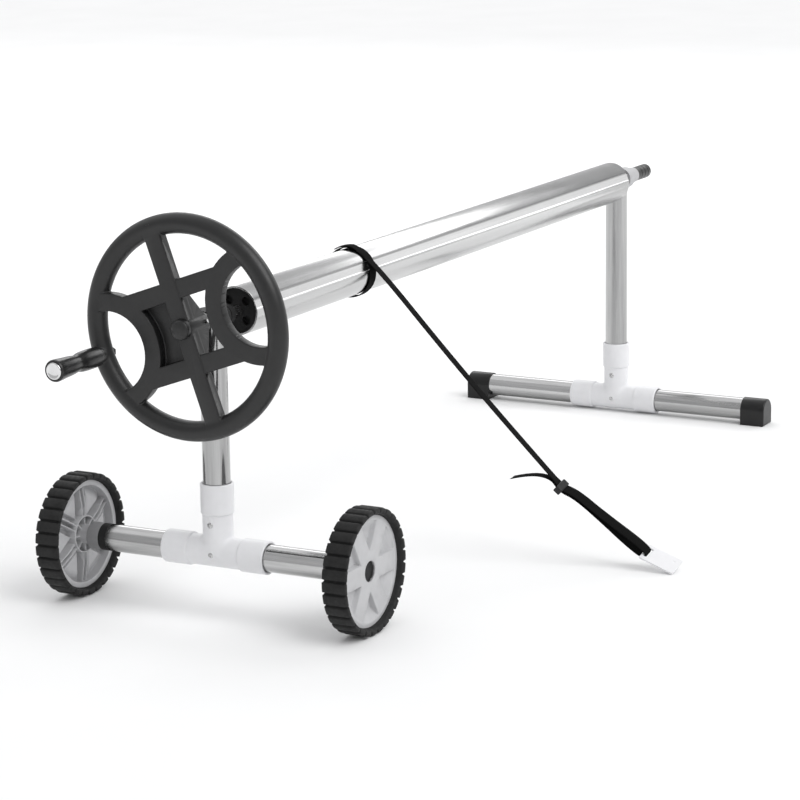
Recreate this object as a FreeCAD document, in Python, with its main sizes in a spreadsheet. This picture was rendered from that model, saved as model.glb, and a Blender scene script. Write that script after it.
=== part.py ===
import FreeCAD, Part
import math
import os

import Sketcher

from FreeCAD import Placement, Rotation, Vector

# A pool cover reel: a winding tube carried between two T-shaped stands. The near stand
# rolls on two wheels and carries the handwheel side; the far stand rests on two square feet.
# Millimetres. +X runs along the tube away from the handwheel, +Z is up, and the origin is on
# the ground under the middle of the object.

doc = FreeCAD.newDocument("CoverReel")
sheet = doc.addObject("Spreadsheet::Sheet", "Sizes")

SIZES = [
    # stands
    ("near_x", -717.5, "near post axis along X"),
    ("far_x", 782.5, "far post axis along X"),
    ("axis_z", 454, "height of the winding axis"),
    ("near_bar_z", 96, "height of the near cross tube"),
    ("far_bar_z", 27, "height of the far cross tube"),
    ("pipe_r", 21, "outside radius of posts and cross tubes"),
    ("pipe_wall", 2, "wall of posts and cross tubes"),
    ("near_bar_half", 192, "half length of the near cross tube"),
    ("far_bar_half", 308, "half length of the far cross tube"),
    ("post_foot", 23, "post's lower end above the cross tube's axis"),
    ("post_head", 12, "post's upper end above the winding axis"),
    # tee fitting
    ("tee_r", 23.4, "outside radius of the fitting's body"),
    ("socket_r", 25.6, "outside radius of its sockets"),
    ("socket_start", 45, "where the side sockets begin"),
    ("socket_end", 89, "where the side sockets end"),
    ("upper_start", 61, "where the upper socket begins"),
    ("upper_end", 108, "where the upper socket ends"),
    ("screw_rise", 46, "upper screw above the cross tube's axis"),
    ("screw_shank_r", 2.4, "screw shank radius"),
    ("screw_head_r", 4.6, "screw head radius"),
    ("screw_head_length", 2.6, "screw head height"),
    ("screw_length", 12, "screw length under the head"),
    ("hole_play", 0.1, "radial play of a shank or tube in its hole"),
    # bearings and shafts
    ("shaft_r", 8, "steel shaft radius"),
    ("bush_r", 10, "bearing bush outside radius"),
    ("run_play", 0.05, "radial running clearance"),
    ("flange_r", 20, "far bearing flange radius"),
    ("far_flange_end", 44, "far flange's outer face from the post axis"),
    ("far_ring_end", 78, "lock ring's outer face from the far post axis"),
    ("stub_end", 139.9, "shaft end cap's tip from the far post axis"),
    ("stub_r", 13.5, "shaft end cap radius"),
    ("ring_r", 14.5, "lock ring radius"),
    # winding tube
    ("tube_r", 38, "winding tube outside radius"),
    ("tube_wall", 3, "winding tube wall"),
    ("tube_start", 69, "tube's near end from the near post axis"),
    ("tube_end", -26, "tube's far end from the far post axis"),
    ("channel_width", 14.5, "width of the flat-bottomed channel along the tube"),
    ("channel_depth", 1.5, "depth of the channel below the crest"),
    ("channel_angle", 20.8, "channel's direction above horizontal on the front side"),
    ("plug_recess", 5, "end plug's recess inside the tube"),
    ("plug_length", 15, "end plug length"),
    # handwheel
    ("rim_x", -71.6, "rim's middle plane from the near post axis"),
    ("rim_centre_r", 155, "radius of the rim's centre circle"),
    ("rim_r", 15.5, "rim section radius"),
    ("plate_front", -13, "plate's front face from the rim plane"),
    ("plate_depth", 18, "depth of the plate"),
    ("plate_step", 1.8, "how far the right half lies behind the main bar's face"),
    ("bar_width", 27, "width of the main bar"),
    ("cross_inner", 44, "inner edge of the cross bars"),
    ("cross_outer", 72, "outer edge of the cross bars"),
    ("cross_reach", 84, "half length of the cross bars"),
    ("window_offset", 136, "centre of each round window"),
    ("window_r", 62, "radius of each round window"),
    ("band_r", 89, "outside radius of the band round it"),
    ("wheel_tilt", 19.5, "main bar's lean from vertical"),
    ("hub_r", 16, "radius of the hub socket behind the plate"),
    ("hub_back", 43.6, "hub socket's back face behind the rim plane"),
    ("gusset_reach", 61, "where the gussets meet the plate"),
    ("cap_r", 13.2, "hub cap radius"),
    ("cap_height", 9, "hub cap height"),
    # handle
    ("grip_length", 115, "grip length"),
    ("grip_r_near", 15, "grip radius beside the rim"),
    ("grip_r_shoulder", 16, "grip radius at the shoulder before its waist"),
    ("grip_r_waist", 12.7, "grip radius at its waist"),
    ("grip_r_end", 16.5, "grip radius at its outer lip"),
    ("bolt_head_r", 13.2, "radius of the bolt's domed head"),
    ("bolt_r", 4, "handle bolt radius"),
    ("boss_r", 13, "handle boss radius"),
    # wheels
    ("wheel_y", 250, "wheel's middle plane from the centre line"),
    ("tyre_r", 96, "tyre radius over the lugs"),
    ("tyre_base_r", 91.5, "tyre radius between the lugs"),
    ("tyre_half", 20, "half width of the tyre"),
    ("tyre_seat_r", 80, "radius where the tyre sits on the hub"),
    ("disc_r", 84.5, "radius of the hub's side face"),
    ("disc_half", 10, "half width of the hub at its rim"),
    ("boss_reach", 24, "hub boss's inner face from the wheel plane"),
    ("wheel_boss_r", 15, "hub boss radius"),
    ("hub_ring_r", 29.3, "ring round the hub boss on the inner face"),
    ("hub_wall", 2, "thickness of that ring, of the ribs and of the webs"),
    ("journal_r", 12, "axle journal radius"),
    ("retainer_r", 15.4, "axle cap radius"),
    ("lug_count", 30, "tyre lugs"),
    ("groove_half", 2.6, "half width of a groove at its bottom"),
    ("groove_flare", 2, "how much wider each side of a groove is at the lugs' tops"),
    ("spoke_count", 6, "hub spokes"),
    ("web_count", 8, "webs between the hub boss and the ring round it"),
    # feet
    ("foot_half", 23, "half the width of the foot, and the radius of its round top"),
    ("foot_start", 268, "foot's inner end from the centre line"),
    ("foot_end", 315, "foot's outer end from the centre line"),
    # strap
    ("strap_x", 430, "strap's loop from the near post axis"),
    ("strap_width", 22, "webbing width"),
    ("strap_roll", 17, "turn of the loop and its plate about the line from buckle to plate"),
    ("strap_thickness", 2, "webbing thickness"),
    ("wrap_r_inner", 38.4, "inside radius of the webbing wound on the tube"),
    ("wrap_r_outer", 41.6, "outside radius of the wound webbing"),
    ("strap_yaw", -82.35, "strap's direction on plan"),
]
for row, (alias, value, note) in enumerate(SIZES, start=1):
    sheet.set(f"A{row}", note)
    sheet.set(f"B{row}", str(value))
    sheet.setAlias(f"B{row}", alias)
doc.recompute()

ALONG_X = Rotation(Vector(0, 1, 0), 90)
ALONG_Y = Rotation(Vector(1, 0, 0), -90)
ALONG_Z = Rotation()
MINUS_Y = Rotation(Vector(1, 0, 0), 90)
MINUS_X = Rotation(Vector(0, 1, 0), -90)

sub_parts = []


def size(alias):
    """Value of one cell of the sheet."""
    return float(sheet.get(alias))


def bind(obj, **expressions):
    """Bind properties to expressions; plain aliases become references to the sheet."""
    for prop, text in expressions.items():
        obj.setExpression(prop.replace("__", "."), refer(text))
    return obj


def refer(text):
    """Write the sheet's name before each alias in an expression."""
    words = []
    word = ""
    for letter in str(text) + " ":
        if letter.isalnum() or letter == "_":
            word += letter
            continue
        words.append(f"Sizes.{word}" if word in ALIASES else word)
        words.append(letter)
        word = ""
    return "".join(words).strip()


ALIASES = {alias for alias, _, _ in SIZES}


def put(obj, x="0", y="0", z="0", turn=ALONG_Z):
    """Turn an object and bind its position."""
    obj.Placement = Placement(Vector(), turn)
    for axis, text in zip("xyz", (x, y, z)):
        obj.setExpression(f".Placement.Base.{axis}", refer(text))
    return obj


def cylinder(name, radius, length, x="0", y="0", z="0", turn=ALONG_Z):
    obj = doc.addObject("Part::Cylinder", name)
    bind(obj, Radius=radius, Height=length)
    return put(obj, x, y, z, turn)


def cone(name, radius_1, radius_2, length, x="0", y="0", z="0", turn=ALONG_Z):
    obj = doc.addObject("Part::Cone", name)
    bind(obj, Radius1=radius_1, Radius2=radius_2, Height=length)
    return put(obj, x, y, z, turn)


def box(name, length, width, height, x="0", y="0", z="0", turn=ALONG_Z):
    obj = doc.addObject("Part::Box", name)
    bind(obj, Length=length, Width=width, Height=height)
    return put(obj, x, y, z, turn)


def fuse(name, pieces):
    obj = doc.addObject("Part::MultiFuse", name)
    obj.Shapes = pieces
    return obj


def cut(name, base, tools):
    """Base minus one tool or several."""
    obj = doc.addObject("Part::Cut", name)
    obj.Base = base
    obj.Tool = tools[0] if len(tools) == 1 else fuse(f"{name}_tools", tools)
    return obj


def common(name, first, second):
    obj = doc.addObject("Part::MultiCommon", name)
    obj.Shapes = [first, second]
    return obj


def sub_part(obj, label, x="0", y="0", z="0", turn=ALONG_Z):
    """Name a finished sub-part and put it in its place."""
    obj.Label = label
    sub_parts.append(obj)
    return put(obj, x, y, z, turn)


def plane_of(body, role):
    """One of a body's own origin planes."""
    return next(item for item in body.Origin.OriginFeatures if item.Role == role)


def outline(body, name, role, corners):
    """A closed outline of straight sides whose corners are bound to the sheet."""
    sketch = body.newObject("Sketcher::SketchObject", name)
    sketch.AttachmentSupport = (plane_of(body, role), "")
    sketch.MapMode = "FlatFace"
    places = [Vector(number(u), number(v), 0) for u, v in corners]
    for start, end in zip(places, places[1:] + places[:1]):
        sketch.addGeometry(Part.LineSegment(start, end), False)
    for side in range(len(places)):
        following = (side + 1) % len(places)
        sketch.addConstraint(Sketcher.Constraint("Coincident", side, 2, following, 1))
    for side, corner in enumerate(corners):
        for kind, text in zip(("DistanceX", "DistanceY"), corner):
            index = sketch.addConstraint(Sketcher.Constraint(kind, -1, 1, side, 1, number(text)))
            sketch.setExpression(f"Constraints[{index}]", refer(text))
    return sketch


def number(text):
    """Value of an expression."""
    return float(sheet.evalExpression(refer(text).replace("Sizes.", "")))


def revolve(body, name, sketch, axis_role):
    """A full turn of an outline about one of the body's own axes."""
    feature = body.newObject("PartDesign::Revolution", name)
    feature.Profile = sketch
    feature.ReferenceAxis = (plane_of(body, axis_role), "")
    feature.Angle = 360
    return feature


def polar(body, name, feature, count):
    """Repeat a feature about the body's Z axis."""
    pattern = body.newObject("PartDesign::PolarPattern", name)
    pattern.Originals = [feature]
    pattern.Axis = (plane_of(body, "Z_Axis"), "")
    pattern.Angle = 360
    pattern.setExpression("Occurrences", refer(count))
    body.Tip = pattern
    return pattern


# ---------------------------------------------------------------- stands


def cross_tube(side, half, bar_z, x):
    """Hollow cross tube with the hole for the fitting's lower screw."""
    outer = cylinder(f"{side}_bar_outer", "pipe_r", f"2 * {half}", y=f"-{half}", turn=ALONG_Y)
    inner = cylinder(f"{side}_bar_inner", "pipe_r - pipe_wall", f"2 * {half}", y=f"-{half}", turn=ALONG_Y)
    hole = cylinder(f"{side}_bar_hole", "screw_shank_r + hole_play", "pipe_r", turn=MINUS_X)
    sub_part(cut(f"{side}_bar", outer, [inner, hole]), f"{side}_cross_tube", x, "0", bar_z)


def post(side, bar_z, x):
    """Hollow post, bored for its bearing bush and for the fitting's upper screw."""
    length = f"axis_z + post_head - {bar_z} - post_foot"
    outer = cylinder(f"{side}_post_outer", "pipe_r", length)
    inner = cylinder(f"{side}_post_inner", "pipe_r - pipe_wall", length)
    bore = cylinder(f"{side}_post_bore", "bush_r + run_play", "4 * pipe_r", "-2 * pipe_r",
                    "0", f"axis_z - {bar_z} - post_foot", ALONG_X)
    hole = cylinder(f"{side}_post_hole", "screw_shank_r + hole_play", "pipe_r",
                    z="screw_rise - post_foot", turn=MINUS_X)
    solid = cut(f"{side}_post_solid", outer, [inner, bore, hole])
    sub_part(solid, f"{side}_post", x, "0", f"{bar_z} + post_foot")


def tee(side, bar_z, x):
    """Moulded fitting: a plain body with three thicker sockets, bored for the pipes."""
    body_bar = cylinder(f"{side}_tee_body", "tee_r", "2 * socket_start", y="-socket_start", turn=ALONG_Y)
    body_up = cylinder(f"{side}_tee_neck", "tee_r", "upper_start")
    length = "socket_end - socket_start"
    left = cylinder(f"{side}_tee_left", "socket_r", length, y="socket_start", turn=ALONG_Y)
    right = cylinder(f"{side}_tee_right", "socket_r", length, y="-socket_end", turn=ALONG_Y)
    upper = cylinder(f"{side}_tee_upper", "socket_r", "upper_end - upper_start", z="upper_start")
    outside = fuse(f"{side}_tee_outside", [body_bar, body_up, left, right, upper])
    bore_r = "pipe_r + hole_play"
    bar_bore = cylinder(f"{side}_tee_bar_bore", bore_r, "2 * socket_end", y="-socket_end", turn=ALONG_Y)
    post_bore = cylinder(f"{side}_tee_post_bore", bore_r, "upper_end - post_foot + hole_play",
                         z="post_foot - hole_play")
    holes = [
        cylinder(f"{side}_tee_hole_{rank}", "screw_shank_r + hole_play", "2 * pipe_r", z=rise, turn=MINUS_X)
        for rank, rise in enumerate(("0", "screw_rise"))
    ]
    solid = cut(f"{side}_tee_solid", outside, [bar_bore, post_bore] + holes)
    sub_part(solid, f"{side}_tee", x, "0", bar_z)


def screw(label, x, z):
    """Pan-head screw driven along +X through the fitting and the pipe inside it."""
    head = cone(f"{label}_head", "screw_head_r", "screw_head_r * 0.7", "screw_head_length", turn=MINUS_X)
    shank = cylinder(f"{label}_shank", "screw_shank_r", "screw_length", turn=ALONG_X)
    solid = fuse(f"{label}_solid", [head, shank])
    sub_part(solid, label, f"{x} - tee_r", "0", z)


def post_cap(side, x):
    """Black cap on the post, saddled over the bearing bush."""
    lid = cylinder(f"{side}_cap_lid", "pipe_r", "3")
    spigot = cylinder(f"{side}_cap_spigot", "pipe_r - pipe_wall - hole_play", "post_head", z="-post_head")
    saddle = cylinder(f"{side}_cap_saddle", "bush_r + hole_play", "4 * pipe_r", "-2 * pipe_r",
                      "0", "-post_head", ALONG_X)
    solid = cut(f"{side}_cap_solid", fuse(f"{side}_cap_body", [lid, spigot]), [saddle])
    sub_part(solid, f"{side}_post_cap", x, "0", "axis_z + post_head")


def bush(side, x, back, front, flanges):
    """Bearing bush through the post; each flange is a (start, end, radius) along X."""
    pieces = [cylinder(f"{side}_bush_sleeve", "bush_r", f"{front} - ({back})", back, turn=ALONG_X)]
    for rank, (start, end, radius) in enumerate(flanges):
        flange = cylinder(f"{side}_bush_flange_{rank}", radius, f"{end} - ({start})", start, turn=ALONG_X)
        pieces.append(flange)
    bore = cylinder(f"{side}_bush_bore", "shaft_r + run_play", f"{front} - ({back})", back, turn=ALONG_X)
    solid = cut(f"{side}_bush_solid", fuse(f"{side}_bush_body", pieces), [bore])
    sub_part(solid, f"{side}_bearing_bush", x, "0", "axis_z")


for side, half, bar_z, x in (
    ("near", "near_bar_half", "near_bar_z", "near_x"),
    ("far", "far_bar_half", "far_bar_z", "far_x"),
):
    cross_tube(side, half, bar_z, x)
    post(side, bar_z, x)
    tee(side, bar_z, x)
    screw(f"{side}_tee_screw_lower", x, bar_z)
    screw(f"{side}_tee_screw_upper", x, f"{bar_z} + screw_rise")
    post_cap(side, x)

bush("near", "near_x", "-26", "34", [("-26", "-22", "14"), ("22", "30", "16")])
bush("far", "far_x", "-24", "far_flange_end",
     [("-24", "-21.5", "13"), ("21.5", "far_flange_end", "flange_r")])


def foot(label, turn):
    """End cap with a round top and a flat sole, bored for the cross tube."""
    length = "foot_end - foot_start"
    top = cylinder(f"{label}_top", "foot_half", length, z="foot_start")
    base = box(f"{label}_base", "2 * foot_half", "far_bar_z", length,
               "-foot_half", "-far_bar_z", "foot_start")
    body = fuse(f"{label}_body", [top, base])
    doc.recompute()
    body.Refine = True
    doc.recompute()
    rounded = doc.addObject("Part::Fillet", f"{label}_rounded")
    rounded.Base = body
    outer_end = body.Shape.BoundBox.ZMax
    rim = [rank for rank, edge in enumerate(body.Shape.Edges, start=1)
           if edge.BoundBox.ZMin > outer_end - 0.01]
    rounded.Edges = [(rank, 3.0, 3.0) for rank in rim]
    bore = cylinder(f"{label}_bore", "pipe_r + hole_play", "far_bar_half - foot_start + hole_play",
                    z="foot_start")
    sub_part(cut(f"{label}_solid", rounded, [bore]), label, "far_x", "0", "far_bar_z", turn)


# The cap's own +Z points outwards along the bar and its own +Y points up.
foot("far_foot_left", Rotation(Vector(-1, 0, 0), Vector(0, 0, 1), Vector(0, 1, 0), "XYZ"))
foot("far_foot_right", Rotation(Vector(1, 0, 0), Vector(0, 0, 1), Vector(0, -1, 0), "XYZ"))

# ---------------------------------------------------------------- axles and wheels


def axle(side, turn):
    """Plug in the cross tube's end with the journal that the wheel turns on."""
    spigot = cylinder(f"axle_spigot_{side}", "pipe_r - pipe_wall - hole_play", "40", z="near_bar_half - 40")
    flange = cylinder(f"axle_flange_{side}", "pipe_r", "13", z="near_bar_half")
    journal = cylinder(f"axle_journal_{side}", "journal_r", "wheel_y + 2 - near_bar_half", z="near_bar_half")
    bore = cylinder(f"axle_bore_{side}", "5", "20", z="wheel_y - 18")
    body = fuse(f"axle_body_{side}", [spigot, flange, journal])
    sub_part(cut(f"axle_solid_{side}", body, [bore]), f"axle_plug_{side}", "near_x", "0", "near_bar_z", turn)
    ring = cylinder(f"spacer_ring_{side}", "pipe_r", "wheel_y - boss_reach - 0.3 - near_bar_half - 13",
                    z="near_bar_half + 13")
    ring_bore = cylinder(f"spacer_bore_{side}", "journal_r + run_play", "60", z="near_bar_half")
    sub_part(cut(f"spacer_solid_{side}", ring, [ring_bore]), f"wheel_spacer_{side}",
             "near_x", "0", "near_bar_z", turn)
    disc = cylinder(f"retainer_disc_{side}", "retainer_r", "4", z="wheel_y + 2")
    stem = cylinder(f"retainer_stem_{side}", "5 - run_play", "18", z="wheel_y - 16")
    sub_part(fuse(f"retainer_solid_{side}", [disc, stem]), f"axle_cap_{side}",
             "near_x", "0", "near_bar_z", turn)


HALF_SPOKE = Rotation(Vector(0, 0, 1), 180 / size("spoke_count"))


def wheel_hub(side, turn):
    """Moulded hub: rim, recessed web, six wide flat spokes outside and thin ribs inside."""
    body = doc.addObject("PartDesign::Body", f"wheel_hub_{side}")
    half = outline(body, f"hub_section_{side}", "XZ_Plane", [
        ("journal_r + run_play", "-boss_reach"),
        ("wheel_boss_r", "-boss_reach"),
        ("wheel_boss_r", "-3"),
        ("hub_ring_r - hub_wall", "-3"),
        ("hub_ring_r - hub_wall", "-disc_half"),
        ("hub_ring_r", "-disc_half"),
        ("hub_ring_r", "-3"),
        ("tyre_seat_r - 4", "-3"),
        ("tyre_seat_r - 4", "-disc_half"),
        ("disc_r", "-disc_half"),
        ("disc_r", "-disc_half + 2"),
        ("tyre_seat_r", "-disc_half + 2"),
        ("tyre_seat_r", "disc_half - 2"),
        ("disc_r", "disc_half - 2"),
        ("disc_r", "disc_half"),
        ("retainer_r + 0.4", "disc_half"),
        ("retainer_r + 0.4", "1.7"),
        ("journal_r + run_play", "1.7"),
    ])
    revolve(body, f"hub_turn_{side}", half, "Z_Axis")
    pocket_shape = outline(body, f"hub_pocket_shape_{side}", "XY_Plane", [
        ("30", "0"),
        ("66", "-20.5"),
        ("76", "-9"),
        ("76", "9"),
        ("66", "20.5"),
    ])
    pocket_shape.AttachmentOffset = Placement(Vector(0, 0, 1), Rotation())
    pocket = body.newObject("PartDesign::Pocket", f"hub_pocket_{side}")
    pocket.Profile = pocket_shape
    pocket.Type = "ThroughAll"
    pocket.Reversed = True
    polar(body, f"hub_pockets_{side}", pocket, "spoke_count")
    for rank, offset in enumerate(("-5.5", "3.5")):
        rib_shape = outline(body, f"hub_rib_shape_{side}_{rank}", "XY_Plane", [
            ("hub_ring_r - 1", offset),
            ("tyre_seat_r - 3", offset),
            ("tyre_seat_r - 3", f"{offset} + hub_wall"),
            ("hub_ring_r - 1", f"{offset} + hub_wall"),
        ])
        rib_shape.AttachmentOffset = Placement(Vector(0, 0, -2), HALF_SPOKE)
        rib = body.newObject("PartDesign::Pad", f"hub_rib_{side}_{rank}")
        rib.Profile = rib_shape
        rib.Length = 7
        rib.Reversed = True
        polar(body, f"hub_ribs_{side}_{rank}", rib, "spoke_count")
    web_shape = outline(body, f"hub_web_shape_{side}", "XY_Plane", [
        ("wheel_boss_r - 1", "-hub_wall / 2"),
        ("hub_ring_r - 1", "-hub_wall / 2"),
        ("hub_ring_r - 1", "hub_wall / 2"),
        ("wheel_boss_r - 1", "hub_wall / 2"),
    ])
    web_shape.AttachmentOffset = Placement(Vector(0, 0, -2), Rotation())
    web = body.newObject("PartDesign::Pad", f"hub_web_{side}")
    web.Profile = web_shape
    web.Length = 7
    web.Reversed = True
    polar(body, f"hub_webs_{side}", web, "web_count")
    doc.recompute()
    sub_part(body, f"wheel_hub_{side}", "near_x", "wheel_y" if side == "left" else "-wheel_y",
             "near_bar_z", turn)


def tyre(side, turn):
    """Tyre with rounded shoulders and grooves across the tread between its lugs."""
    body = doc.addObject("PartDesign::Body", f"tyre_{side}")
    section = outline(body, f"tyre_section_{side}", "XZ_Plane", [
        ("tyre_seat_r + hole_play", "-disc_half + 2 + hole_play"),
        ("disc_r + hole_play", "-disc_half + 2 + hole_play"),
        ("disc_r + hole_play", "-disc_half"),
        ("disc_r + 1.5", "-tyre_half + 3"),
        ("tyre_base_r - 2", "-tyre_half"),
        ("tyre_r - 1.5", "-tyre_half"),
        ("tyre_r", "-tyre_half + 2"),
        ("tyre_r", "tyre_half - 2"),
        ("tyre_r - 1.5", "tyre_half"),
        ("tyre_base_r - 2", "tyre_half"),
        ("disc_r + 1.5", "tyre_half - 3"),
        ("disc_r + hole_play", "disc_half"),
        ("disc_r + hole_play", "disc_half - 2 - hole_play"),
        ("tyre_seat_r + hole_play", "disc_half - 2 - hole_play"),
    ])
    revolve(body, f"tyre_turn_{side}", section, "Z_Axis")
    groove_shape = outline(body, f"tyre_groove_shape_{side}", "XY_Plane", [
        ("tyre_base_r", "-groove_half"),
        ("tyre_r + 1", "-groove_half - groove_flare"),
        ("tyre_r + 1", "groove_half + groove_flare"),
        ("tyre_base_r", "groove_half"),
    ])
    groove = body.newObject("PartDesign::Pocket", f"tyre_groove_{side}")
    groove.Profile = groove_shape
    groove.Type = "ThroughAll"
    groove.Midplane = True
    polar(body, f"tyre_grooves_{side}", groove, "lug_count")
    doc.recompute()
    sub_part(body, f"tyre_{side}", "near_x", "wheel_y" if side == "left" else "-wheel_y", "near_bar_z", turn)


# The left wheel stands with a spoke at its top, the right wheel with a pocket there.
for side, outward, turned in (("left", ALONG_Y, Rotation()), ("right", MINUS_Y, HALF_SPOKE)):
    axle(side, outward)
    wheel_hub(side, outward.multiply(turned))
    tyre(side, outward)

# ---------------------------------------------------------------- winding tube and shafts


def winding_tube():
    """Tube with one flat-bottomed channel along its whole length."""
    length = "far_x - near_x + tube_end - tube_start"
    outer = cylinder("tube_outer", "tube_r", length)
    inner = cylinder("tube_inner", "tube_r - tube_wall", length)
    channel = box("tube_channel", "tube_r", "channel_width", length, "tube_r - channel_depth",
                  "-channel_width / 2")
    tube = cut("tube_solid", outer, [inner, channel])
    # The tube's own +X, where the channel is, points to the front and up.
    angle = math.radians(size("channel_angle"))
    towards = Vector(0, -math.cos(angle), math.sin(angle))
    turn = Rotation(towards, Vector(1, 0, 0).cross(towards), Vector(1, 0, 0), "ZXY")
    sub_part(tube, "roller_tube", "near_x + tube_start", "0", "axis_z", turn)


def end_plug(label, start):
    """Plug pressed into the tube's end round the shaft, with four lightening pockets."""
    disc = cylinder(f"{label}_disc", "tube_r - tube_wall - run_play", "plug_length", turn=ALONG_X)
    bore = cylinder(f"{label}_bore", "shaft_r + run_play", "plug_length", turn=ALONG_X)
    face = "-1" if label.startswith("near") else "plug_length - 6"
    pockets = [
        cylinder(f"{label}_pocket_{rank}", "7", "7", face,
                 f"21 * cos({45 + 90 * rank})", f"21 * sin({45 + 90 * rank})", ALONG_X)
        for rank in range(4)
    ]
    sub_part(cut(f"{label}_solid", disc, [bore] + pockets), label, start, "0", "axis_z")


def ring_on_shaft(label, start, end, radius):
    """Lock ring round the shaft."""
    ring = cylinder(f"{label}_outer", radius, f"{end} - ({start})", turn=ALONG_X)
    bore = cylinder(f"{label}_bore", "shaft_r + run_play", f"{end} - ({start})", turn=ALONG_X)
    sub_part(cut(f"{label}_solid", ring, [bore]), label, start, "0", "axis_z")


winding_tube()
end_plug("near_end_plug", "near_x + tube_start + plug_recess")
end_plug("far_end_plug", "far_x + tube_end - plug_recess - plug_length")
sub_part(cylinder("far_shaft_rod", "shaft_r", "stub_end - 5 + 64"), "far_shaft", "far_x - 64", "0",
         "axis_z", ALONG_X)
ring_on_shaft("near_lock_ring", "near_x + 34.3", "near_x + 46", "ring_r")
ring_on_shaft("far_lock_ring", "far_x + far_flange_end + 0.4", "far_x + far_ring_end", "ring_r")

end_body = cylinder("stub_body", "stub_r", "stub_end - far_ring_end")
end_body_tip = doc.addObject("Part::Fillet", "stub_rounded")
end_body_tip.Base = end_body
doc.recompute()
tip_edges = [rank for rank, edge in enumerate(end_body.Shape.Edges, start=1)
             if edge.BoundBox.ZMin > end_body.Shape.BoundBox.ZMax - 0.01]
end_body_tip.Edges = [(rank, 5.0, 5.0) for rank in tip_edges]
stub_bore = cylinder("stub_bore", "shaft_r + run_play", "stub_end - far_ring_end - 4.9")
GROOVE_Z = "stub_end - far_ring_end - 19"
stub_groove = cut("stub_groove", cylinder("stub_groove_outer", "stub_r + 1", "3", z=GROOVE_Z),
                  [cylinder("stub_groove_inner", "stub_r - 1.5", "3", z=GROOVE_Z)])
sub_part(cut("stub_solid", end_body_tip, [stub_bore, stub_groove]), "shaft_end_cap",
         "far_x + far_ring_end", "0", "axis_z", ALONG_X)

# ---------------------------------------------------------------- handwheel
# The handwheel's own frame: its +X along the winding axis, its +Z along the main bar.


def gusset(label, z_turn):
    """Triangular web behind the main bar, deepest at the hub."""
    wedge = doc.addObject("Part::Wedge", label)
    bind(wedge, Xmin="0", Xmax="hub_back - plate_front - plate_depth", X2min="0", X2max="0.01",
         Ymin="0", Ymax="gusset_reach", Zmin="-bar_width / 2", Zmax="bar_width / 2",
         Z2min="-bar_width / 2", Z2max="bar_width / 2")
    # The wedge's own Y runs out from the hub along the bar and its own Z across the bar.
    turn = Rotation(Vector(1, 0, 0), Vector(0, 0, z_turn), Vector(0, -z_turn, 0), "XYZ")
    return put(wedge, "plate_front + plate_depth", "0", "0", turn)


def ring_band(label, y):
    """Band round one of the two big windows."""
    outer = cylinder(f"{label}_outer", "band_r", "plate_depth", turn=ALONG_X)
    inner = cylinder(f"{label}_inner", "window_r", "plate_depth", turn=ALONG_X)
    return put(cut(label, outer, [inner]), "plate_front", y)


def handwheel():
    """Round rim with a plate of one main bar, two cross bars and two arched bands."""
    rim = doc.addObject("Part::Torus", "wheel_rim")
    bind(rim, Radius1="rim_centre_r", Radius2="rim_r")
    put(rim, turn=ALONG_X)
    bar = box("wheel_bar", "plate_depth", "bar_width", "2 * rim_centre_r",
              "plate_front", "-bar_width / 2", "-rim_centre_r")
    height = "cross_outer - cross_inner"
    upper = box("wheel_cross_upper", "plate_depth", "2 * cross_reach", height,
                "plate_front", "-cross_reach", "cross_inner")
    lower = box("wheel_cross_lower", "plate_depth", "2 * cross_reach", height,
                "plate_front", "-cross_reach", "-cross_outer")
    left = ring_band("wheel_band_left", "window_offset")
    right = ring_band("wheel_band_right", "-window_offset")
    disc = cylinder("wheel_plate_edge", "rim_centre_r", "plate_depth", "plate_front", turn=ALONG_X)
    level_plate = common("wheel_level_plate", fuse("wheel_bars", [bar, upper, lower, left, right]), disc)
    step = box("wheel_step", "plate_step", "rim_centre_r", "2 * rim_centre_r",
               "plate_front", "-rim_centre_r - bar_width / 2", "-rim_centre_r")
    plate = cut("wheel_plate", level_plate, [step])
    panel_side = box("wheel_panel_block", "3", "window_offset - band_r", "2 * cross_inner",
                     "plate_front + plate_depth - 3", "0", "-cross_inner")
    hub = cylinder("wheel_hub_socket", "hub_r", "hub_back - plate_front - 1", "plate_front + 1", turn=ALONG_X)
    boss = cylinder("wheel_handle_boss", "boss_r", "rim_r + 1.5", "-rim_r - 1.5", "rim_centre_r",
                    "0", ALONG_X)
    whole = fuse("wheel_whole", [rim, plate, panel_side, hub, boss, gusset("wheel_gusset_up", 1),
                                 gusset("wheel_gusset_down", -1)])
    shaft_bore = cylinder("wheel_shaft_bore", "shaft_r + run_play", "hub_back - plate_front",
                          "plate_front", turn=ALONG_X)
    bolt_bore = cylinder("wheel_bolt_bore", "bolt_r + run_play", "4 * rim_r", "-2 * rim_r",
                         "rim_centre_r", "0", ALONG_X)
    pin_bore = cylinder("wheel_pin_bore", "3 + run_play", "4 * hub_r", "hub_back - 14", "-2 * hub_r",
                        "0", ALONG_Y)
    solid = cut("wheel_solid", whole, [shaft_bore, bolt_bore, pin_bore])
    sub_part(solid, "handwheel", "near_x + rim_x", "0", "axis_z", WHEEL_TURN)


WHEEL_TURN = Rotation(Vector(1, 0, 0), -size("wheel_tilt"))
handwheel()

hub_cap = doc.addObject("PartDesign::Body", "hub_cap_body")
hub_cap_section = outline(hub_cap, "hub_cap_section", "XZ_Plane", [
    ("0", "0"),
    ("cap_r", "0"),
    ("cap_r", "2"),
    ("cap_r * 0.92", "cap_height * 0.5"),
    ("cap_r * 0.72", "cap_height * 0.78"),
    ("cap_r * 0.4", "cap_height * 0.95"),
    ("0", "cap_height"),
])
revolve(hub_cap, "hub_cap_turn", hub_cap_section, "Z_Axis")
sub_part(hub_cap, "hub_cap", "near_x + rim_x + plate_front", "0", "axis_z", MINUS_X)

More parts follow.
